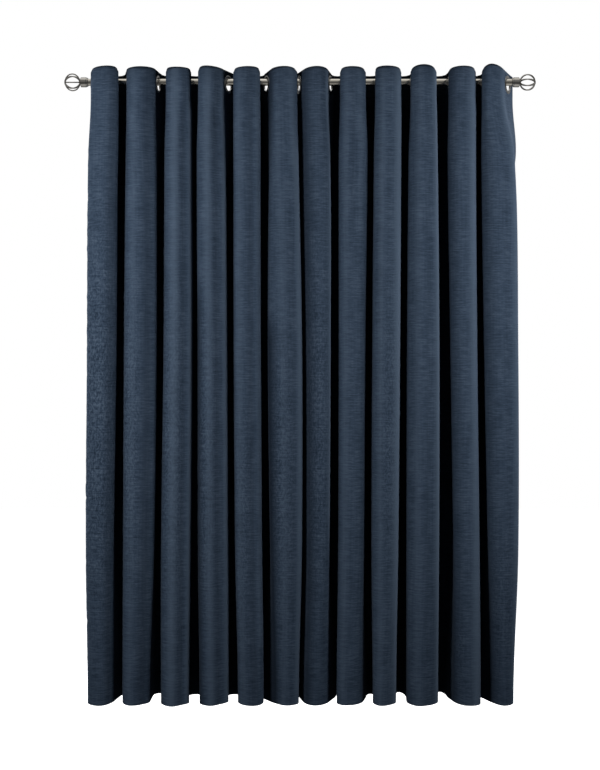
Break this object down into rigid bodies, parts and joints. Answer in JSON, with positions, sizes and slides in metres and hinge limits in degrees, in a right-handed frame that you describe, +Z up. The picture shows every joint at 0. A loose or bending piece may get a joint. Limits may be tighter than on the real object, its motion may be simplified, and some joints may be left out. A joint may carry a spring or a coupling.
{
  "type": "pair of eyelet curtains on a pole",
  "caption": "Full-length navy chenille curtains that hang in even round folds by metal eyelets on a slim satin pole with open cage finials.",
  "frame": {"origin": "on the pole's axis at mid-length", "axes": "+X along the pole to the viewer's right, +Y to the wall, +Z up; the front of the curtains faces -Y"},
  "size_m": [1.7142, 0.1704, 2.2946],
  "materials": {
    "curtain_cloth": "matte slubbed chenille weave",
    "eyelet_metal": "satin silver",
    "pole_metal": "satin nickel"
  },
  "bodies": {
    "root": {"curtain_left": "curtain_cloth", "curtain_right": "curtain_cloth", "eyelet_left_01": "eyelet_metal", "eyelet_left_02": "eyelet_metal", "eyelet_left_03": "eyelet_metal", "eyelet_left_04": "eyelet_metal", "eyelet_left_05": "eyelet_metal", "eyelet_left_06": "eyelet_metal", "eyelet_left_07": "eyelet_metal", "eyelet_left_08": "eyelet_metal", "eyelet_left_09": "eyelet_metal", "eyelet_left_10": "eyelet_metal", "eyelet_left_11": "eyelet_metal", "eyelet_left_12": "eyelet_metal", "eyelet_right_01": "eyelet_metal", "eyelet_right_02": "eyelet_metal", "eyelet_right_03": "eyelet_metal", "eyelet_right_04": "eyelet_metal", "eyelet_right_05": "eyelet_metal", "eyelet_right_06": "eyelet_metal", "eyelet_right_07": "eyelet_metal", "eyelet_right_08": "eyelet_metal", "eyelet_right_09": "eyelet_metal", "eyelet_right_10": "eyelet_metal", "eyelet_right_11": "eyelet_metal", "eyelet_right_12": "eyelet_metal", "pole": "pole_metal", "finial_collar_left": "pole_metal", "finial_collar_right": "pole_metal", "finial_cage_left": "pole_metal", "finial_cage_right": "pole_metal"}
  },
  "joints": []
}
